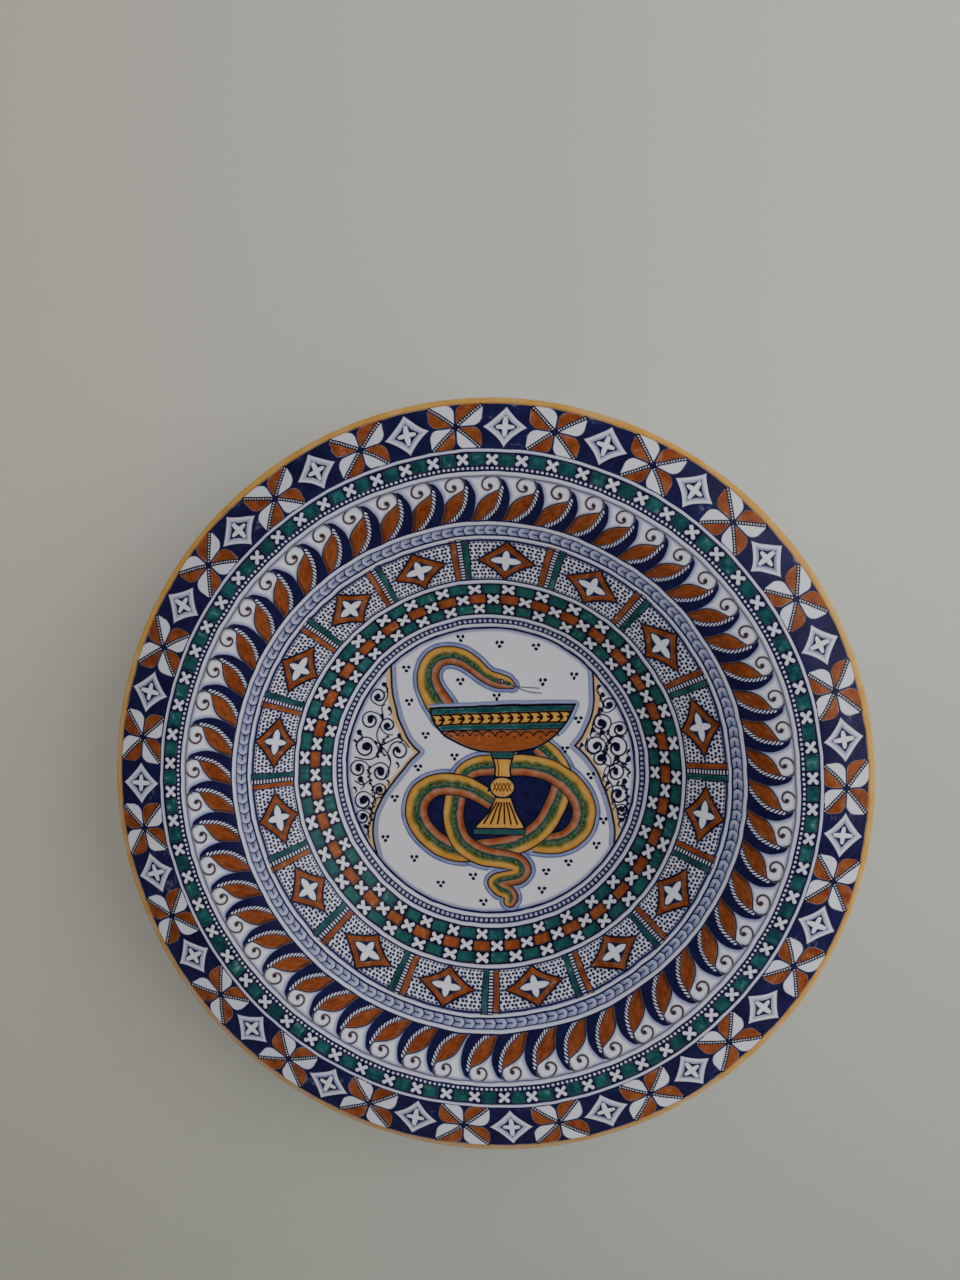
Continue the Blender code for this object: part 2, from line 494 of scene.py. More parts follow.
def framed_diamond(c, x, y, odd, tone):
    """Nested diamonds with a white cross in the middle."""
    diamond = concave_diamond(x, y, 12 + 0.5 * odd, 11, 0.86)
    c.lay(diamond - 0.4, navy=1.4)
    c.lay(diamond, wash=0.16)
    c.lay(diamond + 2.3, 0.6, wash=0.7 + 0.2 * tone + 0.12 * cloud(x, y, 1.5, 4), navy=0.1)
    c.tint(ribbon(diamond + 2.3, 0.3, 0.5), wash=0.9)
    c.lay(diamond + 3.5, navy=1.3)
    c.lay(diamond + 4.1, wash=0.6 + 0.45 * (tone > 0.1), navy=0.7)
    upright = np.maximum(bulging(x, y, 1.4, 5.9), abs(y) - 5.6)
    across = np.maximum(bulging(y, x, 1.3, 5.2), abs(x) - 4.9)
    cross = np.minimum(upright, across)
    c.lay(np.maximum(cross - 0.8, diamond + 3.2), navy=1.4)
    c.lay(np.maximum(cross, diamond + 3.3), wash=0)


def flower_band(c):
    low, high = FLOWER_BAND
    ring(c, low, high, navy=brushed(c, 9, 0.35))
    cells = Cells(c, FLOWERS, (low + high) / 2, 0.3, seed=3, drift=0.5)
    split_flower(c, *cells.at(0, 0.9, 0.15))
    x, y = cells.at(0.5, 0.7, 0.25)
    framed_diamond(c, x, y, cells.odd(), cells.odd(3))


# Green squares and white crosses, with a row of beads below.
CROSSES = 68
CROSS_BAND = (172.1, 179.2)
BEADS = 405


def cross_band(c):
    low, high = CROSS_BAND
    white_ring(c, 180, 181.4)
    ring(c, low, high, navy=1.3, line=0.3)
    cells = Cells(c, CROSSES, (low + high) / 2, 2.6, seed=5, drift=0.8)
    x, y = cells.at(0.5, 0.35, 0.1)
    square = box_distance(x, y, 4.15 + 0.25 * cells.odd(), 3.2, 0.8)
    tone = brushed(c, 3, 0.45) + 0.12 * cells.odd(3)
    dab(c, x, y, square, 1.1, "green", tone, green=1.4, navy=0.5)
    c.lay(arm_distance(*cells.at(0, 0.35, 0.1), 2.05, 1.85, 0.7, 1.12), wash=0.06)
    ring(c, 169.9, 172.3, navy=1.3)
    x, y = Cells(c, BEADS, 171.05, 0, seed=6).at(0, 0.08, 0.05)
    c.lay(box_distance(x, y, 0.74, 0.66, 0.4), 0.35, wash=0.22)
    white_ring(c, 167.5, 169.4)


# Curled feathers: in millimetres from the eye of each curl.
FEATHERS = 54
CURL_RADIUS = 161.9
CRESCENT_LEFT = (
    (-4.6, 4.4), (-7.8, 2.8), (-9.7, -0.3), (-11.1, -4.2),
    (-11.2, -8.2), (-10.2, -12.7), (-8.6, -16.4), (-6.6, -19.4),
)
ROPE = (
    (-5.2, 3.6), (-6.4, 0.6), (-6.6, -2.2), (-6.2, -5.6), (-5.1, -9.1),
    (-3, -12.5), (0.3, -15.6), (4.2, -18.2), (7.4, -19.8),
)
LEAF_RIGHT = (
    (-5.9, 1.7), (-5.1, -1.7), (-2.2, -3.3), (1.3, -5), (4.8, -7.2),
    (7.3, -9.9), (9, -13), (11, -16.4), (13.2, -19.4),
)
ROPE_PITCH = 1.95
CURL = (
    (-5.3, 2.4), (-4.4, 4.2), (-2, 5), (1.3, 4.6), (3.8, 2.9), (4.6, 0.3),
    (3.3, -1.7), (1.1, -2.2), (-0.7, -1.2), (-0.7, 0.4), (0.5, 0.9),
)


def leaf(part, x, y, odd, grain):
    """The orange half of a feather, with the blue shade that falls from it."""
    right = smooth(LEAF_RIGHT, 4)
    shape_of_leaf = polygon_distance(x, y, np.vstack([smooth(ROPE, 4), right[::-1]]), 3)
    part.tint(inside(shape_of_leaf - 1.3, 1.8) * (x > 0), wash=0.85)
    shade = 0.1 + 0.1 * unit(-y / 18)
    part.lay(shape_of_leaf, orange=1.22 + 0.24 * grain + 0.08 * odd, line=shade)
    part.lay(Trace(x, y, right, 1.6).distance - 0.42, line=1.2)


def crescent(part, x, y, odd, grain):
    """The navy half of a feather, its white rope and the brown curl at its head."""
    rope = smooth(ROPE, 4)
    dark = polygon_distance(x, y, np.vstack([smooth(CRESCENT_LEFT, 4), rope[::-1]]), 3)
    part.tint(inside(dark - 1.5, 1.8), wash=0.9)
    part.lay(dark, navy=1.2 + 0.2 * abs(grain))
    cord = Trace(x, y, rope[6:], 2.5)
    beside = cord.offset - 0.1
    part.fill(ribbon(beside, 1.35) * (cord.distance < 1.9), navy=1.4)
    slant = wrapped(cord.along + 0.8 * cord.offset, ROPE_PITCH)
    dash = box_distance(slant, beside, 0.55, 0.95, 0.3)
    part.fill(inside(dash, 0.25) * (cord.distance < 1.5), wash=0.05)
    curl = Trace(x, y, smooth(CURL, 5), 1.8).distance
    part.tint(inside(curl - 1, 1.2), wash=0.35)
    part.lay(curl - 0.55, line=0.95, orange=0.5)
    part.lay(np.hypot(x - 0.2, y - 0.1) - 1.1, line=0.95, orange=0.5)


def feather_band(c):
    cells = Cells(c, FEATHERS, CURL_RADIUS, 3, seed=8, drift=1.2)
    ring(c, 165.6, 166.9, 1.2, wash=0.8)
    for half in (leaf, crescent):
        for shift in (-1, 0, 1):
            x, y = cells.at(shift, 0.6, 0.25)
            x = x * (1 + 0.05 * cells.odd())
            with c.part((x > -14) & (x < 15)) as part:
                x, y, odd = x[part.picked], y[part.picked], cells.odd(3)[part.picked]
                grain = cloud(x * 0.7 + y * 0.7 + 40 * odd, x * 0.2 - y * 0.2, 0.9, 6)
                half(part, x, y, odd, grain)
    ring(c, 166.6, 167.4, navy=0.9)


# A braid between two white lines.
SCALES = 150
BRAID_RADIUS = 138.3


def braid(c):
    white_ring(c, 141.2, 142.9)
    ring(c, 135.4, 141, navy=1, wash=0.4)
    x, y = Cells(c, SCALES, BRAID_RADIUS, 0, seed=9, drift=0.5).at(0, 0.25, 0.1)
    pitch = 2 * pi * BRAID_RADIUS / SCALES
    bow = wrapped(x + 0.3 * y * y, pitch)
    c.lay(block(bow, y, pitch / 2 - 0.46, 2.1), wash=0.82 - 0.12 * bow, navy=0.03)
    c.lay(block(bow + 1.3, y, 1.6, 0.42), navy=1.1)
    white_ring(c, 133.6, 135.3)


# Panels of dots with an orange diamond, parted by bars.
PANELS = 16
PANEL_BAND = (111.7, 133.1)
PANEL_DRIFT = ((0, 0), (60, 2.6), (105, 4), (165, 0), (216, -3.9), (260, -2), (300, 0), (360, 0))
DOT_PITCH = (2.2, 1.9)
LADDER_PITCH = 1.55


def dotted_ground(c, x, y, odd):
    wide, tall = DOT_PITCH
    row = np.round(y / tall)
    jog = 0.5 * wide * (row % 2) + 0.35 * np.sin(row * 2.3 + 3 * odd)
    column = np.round((x - jog) / wide)
    spot_x = x - jog - column * wide + 0.2 * np.sin(column * 3.1 + row * 5.7)
    spot_y = y - row * tall + 0.15 * np.sin(column * 4.3 - row * 2.9)
    dot = np.hypot(spot_x * 0.9, spot_y) - 0.68
    c.lay(np.maximum(dot, abs(y) - 9.6), navy=1.5)
    c.tint(inside(np.minimum(y + 10.5, 10.5 - y) - 0.4, 1.4), wash=0.7)
    c.tint(inside(9.2 - y, 1.8), wash=0.75)


def leaf_width(t, most):
    """Half width of a pointed petal at t of its length."""
    t = unit(t)
    return most * (1 - t) ** 0.8 * (0.45 + 1.1 * t) - 0.3 * (t >= 1)


def orange_diamond(c, x, y, size):
    outer = concave_diamond(x, y, 16.2 * size, 10.2, 0.85)
    c.tint(inside(outer - 2.4, 1.6), wash=0.5)
    c.lay(block(x, y, 19, 0.4), navy=1.1)
    c.lay(outer - 0.9, navy=1.1)
    c.lay(outer, orange=brushed(c, 4, 0.4, 7), line=0.1)
    c.tint(ribbon(outer, 0.4, 0.6), line=1.1)
    inner = concave_diamond(x, y, 8.4 * size, 5.5, 0.95)
    c.lay(inner - 0.75, line=1.1, navy=0.6)
    c.lay(inner, navy=1.2)
    c.tint(inside(outer) * ribbon(inner - 2.2, 0.2, 0.5), line=0.35)
    sideways = abs(y) - leaf_width(abs(x / 8.2), 3)
    upright = abs(x) - leaf_width(abs(y / 5.6), 3.3)
    c.lay(np.minimum(sideways, upright) + 0.1, wash=0.03)


def panel_bar(c, x, y):
    """A white ladder between a green stroke and an orange one."""
    c.lay(abs(x) - 4.9, navy=1.3, line=0.5)
    c.lay(block(x, wrapped(y, LADDER_PITCH), 1.1, 0.38), 0.3, wash=0.04)
    c.lay(abs(x + 3) - 1.25, green=brushed(c, 4, 0.5, 9), navy=0.1)
    c.lay(abs(x - 3.05) - 1.3, orange=brushed(c, 4, 0.4, 8), line=0.08)


def panels(c):
    low, high = PANEL_BAND
    ring(c, low, high, wash=0.1)
    cells = Cells(c, PANELS, (low + high) / 2, 13.6, seed=10, knots=PANEL_DRIFT)
    x, y = cells.at()
    dotted_ground(c, x, y, cells.odd())
    orange_diamond(c, x, y, 1 + 0.03 * cells.odd())
    x, y = cells.at(0.5)
    panel_bar(c, x - 0.25 * cells.odd() * y / 10, y)
    ring(c, low, low + 0.8, navy=1.3)
    ring(c, high - 0.8, high, navy=1.3)


# Three rows of a checker: bars of colour and white bow ties, as wide in each row as in the middle.
CHECKS = 35
CHECK_RADIUS = 101
CHECK_ROWS = ((106.6, 0, "green"), (CHECK_RADIUS, 0.5, "orange"), (95.3, 0, "green"))


def checker(c):
    white_ring(c, 110, 111.6)
    ring(c, 92.2, 109.6, navy=1.4, line=0.6)
    for middle, turned, colour in CHECK_ROWS:
        with c.part(abs(c.r - middle) < 3.1) as part:
            cells = Cells(part, CHECKS, CHECK_RADIUS, 5.6, seed=int(middle), drift=0.7)
            cells.middle = middle
            x, y = cells.at(turned, 0.35, 0.12)
            bar = box_distance(x, y, 4.75 + 0.25 * cells.odd(), 2.4, 0.8)
            tone = brushed(part, 3, 0.3, 11) + 0.08 * cells.odd(3)
            dab(part, x, y, bar, 1.5, colour, tone, line=0.5, **{colour: 1.45})
            x, y = cells.at((turned + 0.5) % 1, 0.35, 0.12)
            part.lay(arm_distance(x, y, 2.4, 1.5, 0.68, 1.08), wash=0.05)


BEAD_SQUARES = 190


def bead_ring(c):
    white_ring(c, 90.1, 91.9)
    ring(c, 86.6, 90, navy=1.2)
    x, y = Cells(c, BEAD_SQUARES, 88.3, 0, seed=12).at(0, 0.12, 0.08)
    c.lay(box_distance(x, y, 0.85, 0.8, 0.4), 0.4, wash=0.75)
    ring(c, 84.9, 86.6, wash=0.2)
    inner_line(c)
    c.tint(inside(abs(c.r - 83) - 0.9, 1.4), wash=0.85)


def inner_line(c):
    """The navy line round the medallion."""
    ring(c, 83.6, 84.9, navy=1.2)


# ---------------------------------------------------------------- the medallion

# The lobed field's outline on each side: down to its cusp, and down from it.
FIELD_LEFT = (
    (-57.5, 61), (-57.2, 50), (-55.5, 40), (-52.7, 30), (-48, 20), (-44, 14.5), (-40.5, 11),
)
FIELD_LEFT_LOW = (
    (-40.5, 11), (-45.3, 6.7), (-50.7, 0), (-56, -6.7), (-60.7, -12.7),
    (-64.7, -19.3), (-68, -26.7), (-69.3, -36), (-68.6, -44), (-66.5, -52),
)
FIELD_RIGHT = (
    (60.3, 59.5), (60.8, 50), (60.7, 40), (59.5, 33.3), (57, 26.7), (53.5, 20), (49.7, 15.3),
)
FIELD_RIGHT_LOW = (
    (49.7, 15.3), (54.7, 10.7), (58.7, 6), (62.7, 0), (65.3, -6),
    (68.3, -12.7), (70.3, -19.3), (72, -26.7), (73, -34), (72.6, -42),
)

# Centre lines of the snake, with the half width at each point.
NECK = (
    (-25, 33, 7.2), (-29.6, 40, 7.2), (-33.8, 46.8, 6.8), (-35.7, 53.5, 6.3), (-35, 59, 5.9),
    (-32.6, 63.4, 5.7), (-28.3, 66.7, 5.4), (-22, 67.8, 5.2), (-16.2, 66.6, 5.2),
    (-12, 64.4, 5), (-7.8, 61.3, 4.6), (-3.7, 57.8, 4.2), (0.6, 54.8, 3.9), (5, 53.2, 4.1),
    (8.8, 52.2, 3.7), (11.5, 51, 2.9), (13.6, 49.9, 1.6),
)
RIGHT_LOOP = (
    (29.5, 15.5, 5.2), (36, 9, 5.4), (41, 2, 5.6), (42.5, -6, 5.8), (40.8, -14.5, 6),
    (37.5, -22.5, 6), (32.5, -31, 6), (25, -38, 6), (15, -43.2, 6), (5, -45.3, 6),
    (-5, -46.8, 6), (-17, -48.2, 5.8), (-26, -45.8, 6), (-34, -40.5, 6.2), (-40.5, -33, 6.4),
    (-43, -25, 6.5), (-41, -16.5, 6.5), (-35, -10.5, 6.4), (-28, -8.2, 6.2), (-21, -8.2, 6),
    (-13, -9.8, 5.8), (-6, -13, 5.4), (2, -18, 5),
)
FAR_LOOP = (
    (-17, -6, 5.4), (-12.5, -0.5, 5.4), (-6, 2.6, 5.6), (2, 3.2, 5.8), (14, 3.6, 6), (22, 3.6, 6),
    (30, 2.5, 6), (38, -0.5, 6), (46, -6, 6.2), (52, -13, 6.4), (55.5, -22, 6.4), (54, -31, 6.4),
    (49, -37.5, 6.2), (42, -41.2, 6), (34, -42.2, 6), (26, -41.2, 6),
)
TAIL = (
    (-18.5, -10, 5.8), (-20.3, -19, 5.8), (-21.2, -28, 5.8), (-19.5, -36, 5.8), (-15.5, -43, 5.8),
    (-8, -48.5, 5.7), (0, -51, 5.5), (9, -52.2, 5.3), (16.2, -54, 5.1), (19.3, -58, 4.9),
    (17, -62, 4.6), (10.5, -63.8, 4.3), (4, -65.8, 4.2), (6, -69.4, 4.1), (11, -72, 4),
    (12.8, -75, 3.8), (12.2, -77.5, 3.2),
)
STRAND_STEPS = 6
OVER_FAR_LOOP = 5
TAIL_TOP = 3
TONGUE = (
    ((13.6, 49.6), (16, 49.3), (22, 48.7), (29.5, 48.3)),
    ((16, 49), (20, 47.2), (25, 46), (30.5, 45.6)),
)
NAVY_GROUND = (
    (
        (-44, -20), (-41, -32), (-30, -43), (-15, -48), (5, -45), (20, -41), (34, -30), (42, -10),
        (40, 3), (30, 14), (20, 15), (15, 9), (3, 6), (-6, -3), (-7, -9), (-13, -9), (-36, -10),
    ),
    ((36, 0), (46, -5), (54, -16), (54, -30), (45, -40), (28, -41), (36, -28), (42, -10)),
    ((-9, -2), (2, -2), (2, -17), (-9, -17)),
)

# The cup.
BOWL_LEFT = ((-34.3, 36.4), (-33.2, 31), (-30.5, 26.2), (-27.5, 22.5), (-24, 19.5), (-18, 16))
BOWL_FOOT = ((-12, 13.4), (-6, 11.8), (0, 11), (7.5, 10.7), (14, 11.2), (20, 12.3), (27, 14.3))
BOWL_RIGHT = ((33, 17.5), (38, 21.3), (42, 25.5), (45.5, 30), (48, 35), (50, 39.3))
BOWL_MIDDLE = 8.0
BOWL_TILT = 0.035
BRAID_LEVEL = 31.0
STEM = ((2.6, 7.2), (4, 2), (3.4, -3.6), (12.8, -3.6), (12.4, 2), (13.6, 7.2))
SKIRT = (
    (3.4, -15.4), (0, -24), (-7.4, -32), (-8.4, -34),
    (20.6, -34), (19.6, -31), (15, -23), (12.6, -15.4),
)
COLLAR = ((1.6, 10.9), (2.2, 7), (13.9, 7), (14.4, 11.1))
FOOT_BAR = ((-9.2, -34.1), (-9.6, -37.4), (20.4, -37.6), (21, -34.2))
SCALLOPS = 14
HUMPS = 9
FLUTES = 6
BROWN = {"line": 1.1, "orange": 0.6, "yellow": 1.0}
INK = {"navy": 1.1, "line": 0.6}

# Each cluster is three dots.
CLUSTERS = (
    (-16, 78), (6.5, 74.5), (27.5, 72.5), (-48.5, 59.5), (49.5, 56), (-16.5, 52.5), (31.5, 52),
    (4.5, 43.5), (-47, 40), (51.7, 30.5), (-37, 21), (-20, 8), (44, 13), (-41.5, 1.5), (59, -2),
    (-56, -17), (66.5, -28), (-62, -41), (62.5, -43), (-44.5, -52.5), (46, -53.5), (33, -59),
    (-9.5, -62.5), (-28.5, -67.5), (30.5, -70), (-3.5, -78),
)

# Scrolls beside the field: centre of the dot, its radius, the curl's radius, its start in degrees.
SCROLLS = (
    (-65.3, 43.5, 1.4, 4, 250), (-70, 30, 1.8, 4.5, 60), (-59.7, 26.7, 1.6, 4, 240),
    (-72.7, 14, 2.2, 5.5, 20), (-53.3, 12, 1.5, 5, 170), (-77.5, 1.2, 2, 4.5, 60),
    (-64, -0.8, 2.3, 5, 130), (-64.7, -11.7, 1.7, 3.3, 150), (-74.7, -18.3, 2.3, 5, 40),
    (-75.5, -28.3, 1.6, 3.8, 40), (69.7, 39.8, 1.6, 3.7, 290), (65.3, 28.7, 2.3, 5, 300),
    (75.7, 25.2, 1.7, 4, 120), (61.7, 15.2, 2, 5.2, 10), (73.7, 14.7, 2.2, 5.8, 170),
    (64.7, 8, 1.9, 4, 30), (73.2, 0.3, 1.7, 4.5, 130), (74.8, -12.5, 2, 4.8, 120),
    (77, -21.8, 1.4, 3.2, 120),
)
SPOTS = (
    (-61.5, 50.3, 1.3), (-76.5, 22.7, 1.5), (-52.5, 20.8, 1.2), (-58.7, 36.5, 1), (-79, 17.7, 0.8),
    (-76.3, -5.5, 1.6), (-71, -23, 1), (-73.5, -34, 1.3), (-80, -10.7, 0.8), (-54, 4.3, 0.8),
    (-60, -6.5, 0.7), (-63.6, 32.8, 0.6), (63.9, 50.5, 1), (66, 45.5, 1.3), (64.7, 36.7, 1.2),
    (60.3, 24.5, 1.3), (65.7, 23.5, 1.3), (53.7, 16, 1), (80.7, 12.8, 0.8), (73.5, 8.3, 1.5),
    (80.5, 7.8, 1.5), (81, 0, 0.8), (67, -2, 0.9), (69, -6, 1.2), (75, -5.5, 0.7), (78.5, -5, 1.4),
    (72.5, -15.8, 0.8), (76.7, -27.5, 1.3),
)
SPINES = (
    ((-60, 20), (-63.5, 14.5), (-62, 9)),
    ((-67.5, 17), (-63.5, 14.5), (-66, 8)),
    ((-71, 2), (-70.5, -6), (-68.5, -12), (-68, -17), (-69.5, -23), (-71, -32)),
    ((68.5, 24), (70, 20), (68, 14.5), (66, 10)),
    ((74, 8.5), (77, 4.5), (79.5, 1.5)),
    ((78, -6), (80, -13), (79.5, -20), (78, -28)),
)
TENDRILS = (
    ((-63.5, 14.5), (-66, 20), (-65, 25), (-62.5, 31), (-63, 37), (-60, 43), (-59.5, 48)),
    ((-63.5, 14.5), (-58, 17.5), (-53, 19.5), (-49, 17), (-47, 14)),
    ((-63.5, 14.5), (-67, 8), (-73, 6.5), (-79.5, 8)),
    ((-63.5, 14.5), (-59, 9), (-58, 4), (-60, -1), (-62, -5.5)),
    ((-70.5, -6), (-75, -9), (-79.5, -6.5)),
    ((-68, -17), (-63.5, -16), (-61.5, -13)),
    ((-69.5, -23), (-74, -23.5), (-78.5, -22)),
    ((-71, -32), (-72.5, -37), (-71.5, -41)),
    ((69, 17), (66.5, 22), (62.5, 23), (60, 27), (62, 33), (66, 36), (65.5, 42), (63, 47)),
    ((69, 17), (73, 21), (78, 20.5)),
    ((68, 14.5), (66, 6), (69.5, 3), (68.5, -3), (71.5, -8), (71, -14), (73.5, -19), (75, -27)),
    ((69.5, 3), (75, 6), (80, 4.5)),
    ((57, 20), (55.5, 14), (59.5, 10)),
)


def halo(c, path):
    """The lilac cloud round one length of the snake."""
    path = smooth(path, STRAND_STEPS)
    reach = path[:, 2].max() + 6
    with c.near(path, reach) as part:
        t = Trace(part.x, part.y, path, reach)
        edge = t.distance - t.half
        uneven = 0.15 * cloud(part.x, part.y, 4, 2)
        part.lay(edge - 2.6, 1, wash=1 + uneven)
        part.tint(ribbon(edge - 2.4, 0.4, 0.7), wash=1.3, navy=0.5 + uneven)


def strand(c, path, outer_side=1, first=0, capped=False):
    """One length of the snake: a shaded body, yellow outside, green along it, orange inside."""
    path = smooth(path, STRAND_STEPS)[first * STRAND_STEPS :]
    reach = path[:, 2].max() + 6
    with c.near(path, reach) as part:
        t = Trace(part.x, part.y, path, reach, True, not capped)
        edge = t.distance - t.half
        part.lay(edge - 0.6, line=1.1, navy=0.9)
        q = outer_side * t.offset / np.maximum(t.half, 0.1)
        speckle = cloud(part.x, part.y, 0.8, 12)
        sweep = cloud(t.along, 4 * q, 3, 13)
        orange = inside(q + 0.34 + 0.06 * sweep, 0.12)
        green = unit((0.7 + 0.1 * sweep - q) / 0.45) * (1 - orange)
        deep = unit(0.6 - 2 * q) * (1 - orange)
        inner_side = unit(1 - abs(q + 0.3) / 0.18)
        ticks = unit(1 - abs(q - 0.02) / 0.3) * unit(2 * speckle)
        roll = unit((abs(q) - 0.55) / 0.45)
        yellow = (1 + 0.45 * roll + 0.06 * sweep) * (1 - orange - 0.45 * deep)
        part.lay(
            edge + 0.1,
            yellow=yellow + 0.55 * orange,
            orange=(0.78 + 0.2 * roll + 0.1 * sweep) * orange + 0.04 * (1 - green),
            green=green * (0.88 + 0.42 * inner_side + 0.35 * ticks),
            line=0.2 * roll + 0.4 * unit(1 - abs(q + 0.36) / 0.09),
        )


def along_line(c, points, half=None, **tones):
    """A brush line of one half width, or of the points' own in a third column."""
    path = smooth(points, 5)
    with c.near(path, 3) as part:
        t = Trace(part.x, part.y, path, 2)
        part.lay(t.distance - (half or t.half), **tones)


def spot(c, x, y, radius, **tones):
    with c.part(np.hypot(c.x - x, c.y - y) < radius + 1) as part:
        wobble = 0.12 * radius * np.sin(2.3 * np.arctan2(part.y - y, part.x - x) + x)
        part.lay(np.hypot(part.x - x, part.y - y) - radius - wobble, **tones)


def shape(c, corners, edge, **tones):
    """A filled outline with a brush line round it."""
    with c.near(corners, 3) as part:
        distance = polygon_distance(part.x, part.y, np.array(corners, float))
        for name, tone in tones.items():
            if callable(tone):
                tones[name] = tone(part, distance)
        part.lay(distance, **tones)
        if edge:
            part.fill(ribbon(distance, edge), line=1.1, navy=0.8)


def lobed_field(c):
    """The white field's lilac edge, its dark line and the yellow line outside it."""
    for upper, lower in ((FIELD_LEFT, FIELD_LEFT_LOW), (FIELD_RIGHT, FIELD_RIGHT_LOW)):
        outline = np.vstack([smooth(upper, 6), smooth(lower, 6)[1:]])
        far = np.copysign(95, outline[0][0])
        beyond = [(far, outline[-1][1]), (far, outline[0][1])]
        inward = polygon_distance(c.x, c.y, np.vstack([outline, beyond]), 8) > 0
        t = Trace(c.x, c.y, outline, 8)
        c.tint(inside(t.distance - 2.8, 1.1) * inward, wash=0.9)
        c.tint(ribbon(t.distance - 2.7, 0.3, 0.9) * inward, wash=1.3, navy=0.3)
        band = 2.7 + 0.9 * np.sin(t.along / t.length * 2 * pi * 1.5)
        c.fill(inside(t.distance - band) * ~inward, yellow=0.9, line=0.05)
        c.lay(t.distance - 0.6, navy=1, line=0.8)


def curl_path(x, y, curl, start):
    """A curl that comes in wide, goes once round its dot and ends on it.

    One that starts on its right-hand side turns anticlockwise, and the others clockwise.
    """
    t = np.linspace(0, 1, 17)
    turns = np.radians(start + np.sign(cos(radians(start))) * (480 * t - 60))
    out = curl * np.interp(t, (0, 0.13, 0.6, 1), (1.6, 1.08, 0.95, 0.35))
    width = np.interp(t, (0, 0.3, 0.8, 1), (0.3, 0.42, 0.6, 1))
    return np.stack([x + out * np.cos(turns), y + out * np.sin(turns), width], axis=1)


def scrolls(c):
    with c.part((abs(c.x) > 45) & (c.y > -48) & (c.y < 62)) as part:
        for x, y, dot, curl, start in SCROLLS:
            along_line(part, curl_path(x, y, curl, start), **INK)
            spot(part, x, y, dot * 1.05, **INK)
        for x, y, radius in SPOTS:
            spot(part, x, y, radius * 1.1, **INK)
            out = np.copysign(radius, -x)
            flick = [
                (x, y, 0.7 * radius),
                (x + out, y - 1.4 * radius, 0.55),
                (x + 1.2 * out, y - 2.8 * radius, 0.35),
                (x, y - 3.8 * radius, 0.25),
            ]
            along_line(part, flick, **INK)
        for spine in SPINES:
            along_line(part, spine, 0.4, **INK)
            for n, (x, y) in enumerate(evenly(smooth(spine, 4), 2)):
                spot(part, x + 0.8 * (-1) ** n, y, 0.75, **INK)
        for tendril in TENDRILS:
            along_line(part, tendril, 0.4, **INK)


def scalloped_line(c, low, high, count, bulge, half, **tones):
    """A line of humps between two points."""
    t = np.linspace(0, 1, count * 6 + 1)[:, None]
    points = np.array(low) + np.subtract(high, low) * t
    points[:, 1:] += bulge * abs(np.sin(pi * t * count)) ** 0.65
    along_line(c, points, half, **tones)


def bowl(c):
    """The bowl: a lilac edge, green bands, an arrow braid and a scalloped orange belly."""
    outline = np.vstack([smooth([*BOWL_LEFT, *BOWL_FOOT, *BOWL_RIGHT], 4), [(8, 38.6)]])
    with c.part((abs(c.x - BOWL_MIDDLE) < 52) & (c.y > -42) & (c.y < 46)) as part:
        x, y = part.x, part.y
        silhouette = polygon_distance(x, y, outline, 5)

        def cut(distance):
            return np.maximum(silhouette, distance)

        rim = (y < 45) * (y > 24 - 0.4 * x) * (y > 0.45 * x + 3)
        part.fill(inside(silhouette - 2.6, 1) * (silhouette > 0) * rim, wash=0.9)
        part.tint(ribbon(silhouette - 2.4, 0.3, 0.7) * rim, wash=1.3, navy=0.35)
        level = y - BOWL_TILT * (x - BOWL_MIDDLE)
        above = level - BRAID_LEVEL
        shade = np.clip((x - BOWL_MIDDLE) / 45, -1, 1)
        grain = cloud(x * 0.35, y, 0.9, 14)
        orange = 1.08 + 0.12 * grain + 0.1 * shade
        part.lay(silhouette, orange=orange, yellow=0.08, line=0.12 * unit((19 - level) / 8))
        green = 1.15 + 0.25 * grain + 0.12 * shade
        part.lay(cut(33.9 - level), green=green, navy=0.15)
        part.lay(cut(abs(level - 26.2) - 1.7), green=green, navy=0.12)
        braided = cut(abs(above) - 3)
        part.lay(braided, yellow=1.05, orange=0.12 + 0.1 * grain)
        part.lay(cut(abs(abs(above) - 3) - 0.5), **BROWN)
        bow = wrapped(x + 32 + 0.34 * above**2, 80 / SCALLOPS)
        part.lay(np.maximum(abs(bow) - 0.85, braided + 0.3), **BROWN)
        part.lay(np.maximum(block(bow + 1.3, above - 0.1, 1.5, 0.65), braided), **BROWN)
        part.lay(cut(abs(level - 24.3) - 0.45), line=1.1, navy=0.8)
        part.fill(ribbon(silhouette, 0.62), navy=1, line=0.9)
    along_line(c, ((-34, 36.6), (0, 38), (30, 38.5), (50.3, 39.4)), 0.5, navy=1.3, line=0.9)
    scalloped_line(c, (-25.6, 20.2), (40.6, 21.4), HUMPS, 2.5, 0.42, **BROWN)
    for n in range(HUMPS):
        spot(c, -21.9 + n * 7.36, 20.2 + 0.3 * sin(n), 0.6, **BROWN)


def warm(part, distance):
    """The orange that rounds off the yellow stem."""
    return 0.13 + 0.1 * cloud(part.x, part.y * 0.4, 1.2, 15) + 0.12 * inside(-distance - 1, 1.5)


